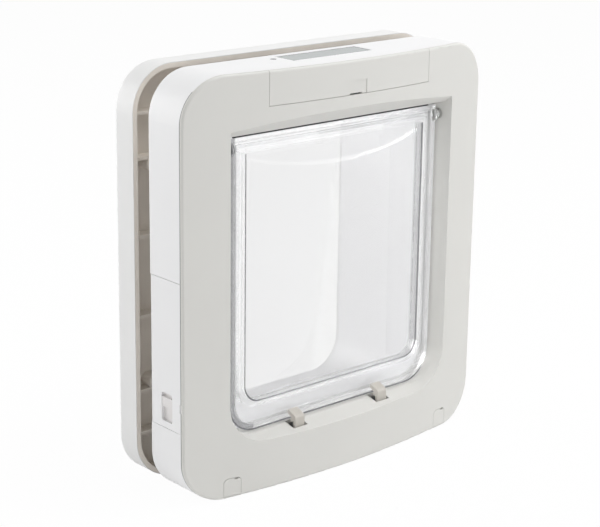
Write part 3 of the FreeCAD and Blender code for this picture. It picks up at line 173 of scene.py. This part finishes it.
def dress(material, *names):
    """Gives the material to these nodes of the frame."""
    for name in names:
        mesh = nodes[name].data
        mesh.materials.clear()
        mesh.materials.append(material)


shell_white = (0.845, 0.845, 0.85)
shell_roughness = 0.42
bow_centre = 0.57451
seam_radius = 0.63086
seam_width = 0.0006
seam_top, seam_fade = 0.27, 0.0005
seam_shade = 0.35


def seam_shadow(place, tone):
    """The tone with a shadow on the shell's front edge, which follows the bow of the cover."""
    x, y, z = place.axes()
    behind = y - bow_centre
    from_seam = seam_radius - place.maths("SQRT", x * x + behind * behind)
    shadow = from_seam.between(seam_width, seam_width / 2.0) * z.under(seam_top, seam_fade)
    return shadow.blend(tone, shade(shell_white, seam_shade))


housing_white = moulded("housing_white", shell_white, shell_roughness, seam_shadow)
dress(housing_white, "inner_housing", "side_panel")

# Display: a liquid crystal module under the top wall, behind a flush acrylic window that lies on a
# ledge. The window is grey-green, with a darker printed border along its edge.
# Next to it sits the black lens of the light sensor, pressed into its hole.

window_middle = (0.0, -0.02725)
window_half = (0.0345, 0.00915)
border_width = 0.0012
border_blur = 0.0002
window_grey = (0.25, 0.285, 0.28)
border_grey = (0.15, 0.175, 0.175)
display_tones = (0.20, 0.23, 0.17), (0.24, 0.27, 0.21)
lens_tones = (0.03, 0.035, 0.04), (0.045, 0.05, 0.055)

window_finish, place = new_finish("display_window", IOR=1.49)
x, y, _ = place.axes()
edge_x = abs(x - window_middle[0]) - (window_half[0] - border_width)
edge_y = abs(y - window_middle[1]) - (window_half[1] - border_width)
border = edge_x.larger(edge_y).between(0.0, border_blur)
tinted = drifting(place, window_grey, 40.0, 0.96, 1.04)
feed(window_finish, Base_Color=border.blend(tinted, border_grey),
     Roughness=place.uneven(300.0, 0.06, 0.11))
dress(window_finish, "lcd_window")


def mottled(name, tones, tone_scale, roughness, gloss_scale, **fixed):
    """A finish whose colour and roughness both vary in soft spots, and its coordinates."""
    material, place = new_finish(name, **fixed)
    feed(material, Base_Color=place.noise(tone_scale).blend(*tones),
         Roughness=place.uneven(gloss_scale, *roughness))
    return material, place


display_finish, _ = mottled("display_glass", display_tones, 90.0, (0.12, 0.17), 600.0, IOR=1.5)
dress(display_finish, "lcd_module")

lens_finish, _ = mottled("sensor_lens", lens_tones, 200.0, (0.08, 0.13), 400.0, IOR=1.55)
dress(lens_finish, "sensor_window")

# Main circuit board behind the battery tray, and a small board with a push switch behind each
# button. Glass fibre laminate under green lacquer, with black chips soldered on the room side.

lacquer_green = (0.012, 0.075, 0.03)
chip_black = (0.012, 0.012, 0.013)
board_front = -0.0182
chip_height, chip_half = 0.258, 0.0045
chip_blur = 0.0001

board_finish, place = new_finish("board_lacquer")
_, y, z = place.axes()
raised = (board_front - y).between(chip_blur, 2.0 * chip_blur)
near_row = abs(z - chip_height).between(chip_half + chip_blur, chip_half)
lacquer = place.noise(900.0).blend(shade(lacquer_green, 0.8), shade(lacquer_green, 1.3))
feed(board_finish, Base_Color=(raised * near_row).blend(lacquer, chip_black),
     Roughness=place.uneven(1500.0, 0.3, 0.4))
dress(board_finish, "circuit_board", "button_boards")

# Tunnel: the white liner that the animal walks through, with a flange held to the housing's back
# wall by six small zinc plated screws. Round its front end lies the reader's loop of enamelled
# copper wire, whose turns lie side by side along the depth.

liner_white = (0.94, 0.94, 0.95)
turn_pitch, turn_depth = 0.0008, 0.0002
copper_tones = (0.28, 0.10, 0.04), (0.42, 0.17, 0.07)
zinc_tones = (0.50, 0.50, 0.49), (0.64, 0.64, 0.63)

tunnel_white = moulded("tunnel_white", liner_white, 0.38)
dress(tunnel_white, "tunnel")


def waves(distance, pitch):
    """An even wave of this pitch along the distance, from -1 to 1."""
    return distance.maths("SINE", distance * (math.tau / pitch))


wire_finish, place = mottled("coil_wire", copper_tones, 1200.0, (0.3, 0.4), 900.0, Metallic=0.6)
_, y, _ = place.axes()
feed(wire_finish, Normal=waves(y, turn_pitch).relief(turn_depth, 0.7))
dress(wire_finish, "antenna_coil")


def zinc_plated(name):
    return mottled(name, zinc_tones, 500.0, (0.28, 0.48), 1500.0, Metallic=1.0)


zinc, _ = zinc_plated("zinc_plate")
dress(zinc, "tunnel_screws", "cover_screws")

# Latches: two bent hooks in the sill, each on the plunger of a solenoid that stands on the
# housing's floor. The hooks are moulded in a beige-grey acetal, and the solenoids' frames are
# pressed steel with a dark coating.

latch_beige = (0.56, 0.53, 0.485)
coating_tones = (0.05, 0.05, 0.052), (0.09, 0.09, 0.092)

latch_finish = moulded("latch_plastic", latch_beige, 0.42)
dress(latch_finish, "latch_left", "latch_right")
coil_finish, _ = mottled("coil_frame", coating_tones, 300.0, (0.4, 0.6), 900.0, Metallic=0.7)
dress(coil_finish, "latch_coil_left", "latch_coil_right")

# Battery tray behind the panel: the same white plastic as the housing, with a round hole for each
# fixing screw and a dark grey rubber push button above it.

button_grey = (0.07, 0.072, 0.075)

white_satin = moulded("white_satin", shell_white, shell_roughness)
dress(white_satin, "battery_box")
button_finish = moulded("button_rubber", button_grey, 0.7)
dress(button_finish, "button_left", "button_right")

# Four cells in two rows, head to tail. Each is a steel can in a dark plastic sleeve with a lighter
# band at its positive end, and bare metal at both ends.

cell_pitch = 0.0508
sleeve_half, sleeve_blur = 0.0246, 0.0002
row_depths = (-0.04475, -0.03025)
band_from, band_full = 0.70, 0.71
sleeve_dark = (0.03, 0.034, 0.042)
band_copper = (0.42, 0.20, 0.09)
can_steel = (0.62, 0.61, 0.59)

sleeve, place = new_finish("cell_sleeve")
x, y, _ = place.axes()
from_middle = abs(abs(x) - cell_pitch / 2.0)
bare = from_middle.between(sleeve_half, sleeve_half + sleeve_blur)
front_row = y.under(sum(row_depths) / 2.0)
along_row = front_row * (x * 2.0) - x
along_cell = place.maths("FRACT", (along_row + cell_pitch) / cell_pitch)
band = along_cell.between(band_from, band_full)
wrap = place.noise(70.0).blend(shade(sleeve_dark, 0.9), shade(sleeve_dark, 1.2))
feed(sleeve, Base_Color=bare.blend(band.blend(wrap, band_copper), can_steel),
     Roughness=place.uneven(700.0, 0.22, 0.32), Metallic=bare)
dress(sleeve, "batteries")

# Battery contacts: nickel plated spring strip, clipped into the tray's end walls. A flat end of a
# cell meets a wire spring of three turns, and a button end meets a pressed dome.

row_height = 0.26515
strip_face = 0.0530
strip_thick = 0.0004
strip_half = 0.0047
strip_corner = 0.0008
spring_radius = 0.0031
spring_wire = 0.0003
spring_turns = 3
spring_length = 0.0018
turn_steps = 20
wire_sides = 8
dome_radius = 0.0026
dome_length = 0.0021
dome_edge = 0.0006
nickel_tones = (0.58, 0.56, 0.52), (0.68, 0.66, 0.62)


def add_block(shape, middle, size):
    """Adds a block with this middle and size, and gives its vertices."""
    matrix = Matrix.Translation(middle) @ Matrix.Diagonal((*size, 1.0))
    return bmesh.ops.create_cube(shape, size=1.0, matrix=matrix)["verts"]


def edges_at(vertices):
    return list(dict.fromkeys(edge for vertex in vertices for edge in vertex.link_edges))


def round_off(shape, edges, radius):
    bmesh.ops.bevel(shape, geom=edges, offset=radius, segments=3, profile=0.5, affect="EDGES",
                    material=-1)


def add_spring(shape, side, depth):
    """Adds a wire spring that stands out from the strip's face."""
    start = Matrix.Translation((side * (strip_face - spring_wire), depth,
                                row_height + spring_radius))
    ring = bmesh.ops.create_circle(shape, segments=wire_sides, radius=spring_wire, cap_ends=False,
                                   matrix=start @ Matrix.Rotation(math.pi / 2.0, 4, "X"))["verts"]
    steps = turn_steps * spring_turns
    bmesh.ops.spin(shape, geom=ring + edges_at(ring), cent=(0.0, depth, row_height),
                   axis=(1.0, 0.0, 0.0), dvec=(-side * spring_length / steps, 0.0, 0.0),
                   angle=math.tau * spring_turns, steps=steps)
    ends = [edge for edge in shape.edges if edge.is_boundary]
    bmesh.ops.holes_fill(shape, edges=ends, sides=wire_sides)


def add_dome(shape, side, depth):
    """Adds the pressed dome on the strip's face."""
    half_way = strip_face - dome_length / 2.0
    middle = Matrix.Translation((side * half_way, depth, row_height))
    dome = bmesh.ops.create_cone(shape, cap_ends=True, segments=32, radius1=dome_radius,
                                 radius2=dome_radius, depth=dome_length,
                                 matrix=middle @ Matrix.Rotation(math.pi / 2.0, 4, "Y"))["verts"]
    rim = [edge for edge in edges_at(dome) if all(abs(end.co.x) < half_way for end in edge.verts)]
    round_off(shape, rim, dome_edge)


def new_object(name, shape, material):
    """An object in the scene with this shape, which is used up, and this material."""
    mesh = bpy.data.meshes.new(name)
    shape.to_mesh(mesh)
    shape.free()
    mesh.materials.append(material)
    made = bpy.data.objects.new(name, mesh)
    bpy.context.scene.collection.objects.link(made)
    return made


def new_piece(name, shape, material, body):
    """A finished object whose faces point outwards, riding on a body of the frame."""
    bmesh.ops.recalc_face_normals(shape, faces=shape.faces)
    piece = new_object(name, shape, material)
    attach(piece, body)
    return piece


nickel, _ = mottled("nickel_strip", nickel_tones, 600.0, (0.2, 0.35), 1500.0, Metallic=1.0)
shape = bmesh.new()
for depth, sprung_side in zip(row_depths, (-1.0, 1.0)):
    for side in (-1.0, 1.0):
        strip = add_block(shape, (side * (strip_face + strip_thick / 2.0), depth, row_height),
                          (strip_thick, 2.0 * strip_half, 2.0 * strip_half))
        corners = [edge for edge in edges_at(strip)
                   if abs(edge.verts[0].co.x - edge.verts[1].co.x) > strip_thick / 2.0]
        round_off(shape, corners, strip_corner)
        if side == sprung_side:
            add_spring(shape, side, depth)
        else:
            add_dome(shape, side, depth)
contacts = new_piece("contact_springs", shape, nickel, "housing")
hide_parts("battery_contacts")

# Side panel and lock slider, in the left side of the housing. The panel clips in flush, and the
# plain slider behind it works a small switch with a cream white case. The slider is a little
# greyer than the shell.

slider_grey = (0.76, 0.74, 0.73)
case_cream = (0.80, 0.76, 0.70)

slider_white = moulded("slider_white", slider_grey, 0.36)
dress(slider_white, "side_slider")
switch_cream = moulded("switch_cream", case_cream, 0.45)
dress(switch_cream, "mode_switch")

# Front cover: the bowed frame with the recess round the flap, screwed to the housing from behind.
# Moulded in a warm light grey with the same fine grain, a little less glossy. Two snap-in caps of
# the same grey hide the lower fixing screws, and a panel at the top closes the battery tray.

cover_grey = (0.685, 0.68, 0.652)

grey_satin = moulded("grey_satin", cover_grey, 0.5)
dress(grey_satin, "front_cover", "battery_cover", "corner_cap_left", "corner_cap_right")

# Shadow strip: a thin black strip under the front edge of the recess ceiling, a painted shadow
# for the deep shade in the gap over the flap's top edge. It stays clear of the flap when it swings.

shade_strip_left, shade_strip_right = -0.0905, 0.0815
shade_strip_near, shade_strip_far = -0.0443, -0.0431
shade_strip_base, shade_strip_top = 0.2372, 0.23828
shadow_black_tones = (0.010, 0.010, 0.010), (0.022, 0.022, 0.022)
strip_bump_scale, strip_bump_depth = 1800.0, 0.0001

# The strip's black finish is painted shadow, with a fine bump.
rubber, place = mottled("painted_shadow_black", shadow_black_tones, 900.0, (0.75, 0.85), 400.0)
feed(rubber, Normal=place.noise(strip_bump_scale, 3.0).relief(strip_bump_depth))
shape = bmesh.new()
add_block(shape, ((shade_strip_left + shade_strip_right) / 2.0, (shade_strip_near + shade_strip_far) / 2.0,
                  (shade_strip_base + shade_strip_top) / 2.0),
          (shade_strip_right - shade_strip_left, shade_strip_far - shade_strip_near, shade_strip_top - shade_strip_base))
shadow_strip = new_piece("painted_shadow_strip", shape, rubber, "housing")

# Flap: one clear polycarbonate moulding. Its rim is a channel with steps that scatter light, and
# its pane is thin and bowed towards the room, with a soft crease near the top. The pins of two
# ears at its upper corners turn in plain clear bushes.

pane_half, pane_base, pane_head = 0.0790, 0.0575, 0.2255
pane_turn = 0.0130
rim_half, rim_base = 0.0915, 0.0380
rim_turn = 0.0220
pane_cover, rim_cover = 0.20, 0.6
clear_tones = (0.93, 0.935, 0.94), (0.965, 0.97, 0.975)
smoky_tones = (0.43, 0.43, 0.435), (0.48, 0.48, 0.485)
bush_tones = (0.90, 0.91, 0.90), (0.96, 0.97, 0.96)

# On the real flap the front edges of the pane and the rim catch the dark of the gap round it, as
# fine lines. Here they are painted reflections: dark lines painted into the colour, in front of
# line_rear. The painted line on the rim stops before its bright right side, and its left side, far
# behind the edge of the recess, has a wider painted shade.
line_width, line_rear = 0.0011, -0.0412
painted_line_grey = (0.03, 0.03, 0.035)
painted_line_cover = 1.0
bright_side = 0.0860
shade_side, shade_fade = -0.0700, 0.001
shade_span, shade_cover = (-0.0056, -0.0041), 0.85

clear_plastic, place = new_finish("clear_plastic", Transmission_Weight=1.0, IOR=1.45)
x, y, z = place.axes()


def past_corner(over, above):
    """Distance from the middle of an outline's round corner, for how far a point lies past it."""
    over, above = over.larger(0.0), above.larger(0.0)
    return over.maths("SQRT", over * over + above * above)


def out_of(half, base, turn):
    """How far a point lies outside an outline with round lower corners; less than 0 inside."""
    return past_corner(abs(x) - (half - turn), (base + turn) - z) - turn


past_pane = out_of(pane_half, pane_base, pane_turn)
past_rim = out_of(rim_half, rim_base, rim_turn)
below_head = z.under(pane_head)
in_pane = past_pane.under(0.0) * below_head
painted_pane_line = abs(past_pane + line_width / 2.0).under(line_width / 2.0) * below_head
painted_rim_line = (1.0 - past_rim.under(-line_width)) * x.under(bright_side)
painted_rim_shade = past_rim.between(*shade_span) * x.under(shade_side, shade_fade) * shade_cover
# Painted reflections of the dark gap: fine lines on the front edges of pane and rim, and a wider
# painted shade on the rim's left side.
painted_lines = painted_pane_line.larger(painted_rim_line).larger(painted_rim_shade) * y.under(line_rear)
clear = place.noise(20.0).blend(*clear_tones)
smoky = place.noise(12.0).blend(*smoky_tones)
covered = in_pane * (pane_cover - rim_cover) + rim_cover
feed(clear_plastic, Base_Color=painted_lines.blend(in_pane.blend(clear, smoky), painted_line_grey),
     Roughness=place.uneven(500.0, 0.01, 0.04), Alpha=covered + painted_lines * (painted_line_cover - covered))
dress(clear_plastic, "flap")

bush_clear, place = mottled("bush_clear", bush_tones, 90.0, (0.05, 0.10), 500.0,
                            Transmission_Weight=1.0, IOR=1.49)
feed(bush_clear, Alpha=place.uneven(200.0, 0.3, 0.4))
dress(bush_clear, "pivot_bush_left", "pivot_bush_right")

# Outer frame: the half that screws on from outside the door, open towards the door, with ribs,
# bosses and a sleeve round the tunnel. Its outside is cool white. Inside, where the ribs are, the
# wall is painted a warm beige shade, which stands for the dim, warmly lit gap behind the frame.

frame_half = 0.131
frame_middle, frame_reach = 0.1395, 0.1395
corner_radius = 0.030
wall_inner = 0.0222
skin, skin_blur = 0.0003, 0.0002
outside_white = (0.80, 0.80, 0.795)
painted_shade_beige = (0.84, 0.785, 0.715)


def painted_inside_shade(place, tone):
    """The tone on the outside, and a painted warm beige shade between the ribs."""
    x, y, z = place.axes()
    off_centre = past_corner(abs(x) - (frame_half - corner_radius),
                             abs(z - frame_middle) - (frame_reach - corner_radius))
    in_shade = (off_centre - (corner_radius - skin)).between(0.0, -skin_blur)
    painted_beige = drifting(place, painted_shade_beige, 30.0, 0.95, 1.05)
    return (in_shade * y.under(wall_inner, skin_blur)).blend(tone, painted_beige)


outer_white = moulded("outer_white", outside_white, 0.44, painted_inside_shade)
dress(outer_white, "outer_frame")

# Fixing screws: four long zinc plated screws through the door, two behind the battery tray and two
# under the caps. The shanks are threaded all the way.

head_rear = -0.0369
thread_pitch, thread_depth = 0.0011, 0.0003
thread_start = 0.0004

threaded, place = zinc_plated("zinc_thread")
_, y, _ = place.axes()
on_shank = (y - head_rear).between(0.0, thread_start)
feed(threaded, Normal=(waves(y, thread_pitch) * on_shank).relief(thread_depth))
dress(threaded, "fixing_screws")

# Studio: a plain pale paper floor that runs out of sight, and even pale air round it. Both look
# white to the camera and in reflections.

floor_reach = 9.0
paper_grey = (0.88, 0.88, 0.88, 1.0)
floor_glow, air_glow = 0.97, 1.0
air_white = (1.0, 1.0, 1.0, 1.0)
air_strength = 0.26


def whitened(tree, plain, bright, output, share):
    """Mixes in a bright shader for rays from the camera and from mirrors and clear pieces."""
    rays = tree.nodes.new("ShaderNodeLightPath")
    camera_ray, mirror_ray, clear_ray = [Wire(tree, rays.outputs[kind]) for kind in (
        "Is Camera Ray", "Is Glossy Ray", "Is Transmission Ray")]
    seen = camera_ray.larger(mirror_ray).larger(clear_ray)
    white = seen.node(bright, {"Color": air_white, "Strength": 1.0})
    mixed = seen.node("ShaderNodeMixShader", {0: seen * share, 1: Wire(tree, plain), 2: white})
    tree.links.new(mixed.socket, output.inputs["Surface"])


paper, _ = new_finish("floor_paper", Base_Color=paper_grey, Roughness=0.9)
paper_parts = paper.node_tree.nodes
whitened(paper.node_tree, paper_parts["Principled BSDF"].outputs[0], "ShaderNodeEmission",
         paper_parts["Material Output"], floor_glow)
shape = bmesh.new()
bmesh.ops.create_grid(shape, x_segments=1, y_segments=1, size=floor_reach)
floor = new_object("studio_floor", shape, paper)

world = bpy.data.worlds.new("studio_air")
bpy.context.scene.world = world
world.use_nodes = True
air = world.node_tree.nodes["Background"]
air.inputs["Color"].default_value = air_white
air.inputs["Strength"].default_value = air_strength
whitened(world.node_tree, air.outputs[0], "ShaderNodeBackground",
         world.node_tree.nodes["World Output"], air_glow)

# Lamps: a large softbox nearly overhead, a low one at the right front that draws the bright line
# along the pane's crease, one on the right and a weak low one on the left, which together shade the
# bowed front from left to right, and one behind that shines through the tunnel.

lit_point = Vector((0.0, 0.0, 0.14))


def facing(target, azimuth, elevation, distance, roll=0.0):
    """The place of a lamp or camera that faces the target, with angles in degrees."""
    turn = (Matrix.Rotation(math.radians(azimuth), 4, "Z")
            @ Matrix.Rotation(math.radians(90.0 - elevation), 4, "X")
            @ Matrix.Rotation(math.radians(roll), 4, "Z"))
    return Matrix.Translation(target) @ turn @ Matrix.Translation((0, 0, distance))


def softbox(name, azimuth, elevation, distance, height, power, width=None):
    """A soft lamp that faces the middle of the object, square unless it has a width."""
    lamp = bpy.data.lights.new(name, "AREA")
    lamp.shape = "RECTANGLE"
    lamp.size = width or height
    lamp.size_y = height
    lamp.energy = power
    holder = bpy.data.objects.new(name, lamp)
    holder.matrix_world = facing(lit_point, azimuth, elevation, distance)
    bpy.context.scene.collection.objects.link(holder)


softbox("overhead_softbox", azimuth=40.0, elevation=68.0, distance=1.7, height=1.2, power=20.0)
softbox("front_strip", azimuth=44.0, elevation=9.0, distance=1.8, height=0.8, power=8.0, width=1.5)
softbox("right_softbox", azimuth=88.0, elevation=25.0, distance=1.8, height=1.2, power=4.0)
softbox("left_strip", azimuth=-60.0, elevation=5.0, distance=1.8, height=0.4, power=5.0, width=1.6)
softbox("rear_softbox", azimuth=-152.0, elevation=12.0, distance=1.6, height=1.0, power=15.0)

# Camera: at the left front, a little above the object, with a long lens.

frame_width = 600.0
focal_pixels = 1686.4
shift_pixels = (1.0, -30.0)
sensor_width = 36.0
sight_point = Vector((-0.007172, -0.01495, 0.155282))

camera_data = bpy.data.cameras.new("camera")
camera_data.sensor_width = sensor_width
camera_data.lens = focal_pixels / frame_width * sensor_width
camera_data.shift_x = -shift_pixels[0] / frame_width
camera_data.shift_y = shift_pixels[1] / frame_width
camera = bpy.data.objects.new("camera", camera_data)
camera.matrix_world = facing(sight_point, azimuth=-41.642, elevation=15.544, distance=1.13976,
                             roll=0.803)
bpy.context.scene.collection.objects.link(camera)
bpy.context.scene.camera = camera
bpy.context.scene.view_settings.view_transform = "Standard"
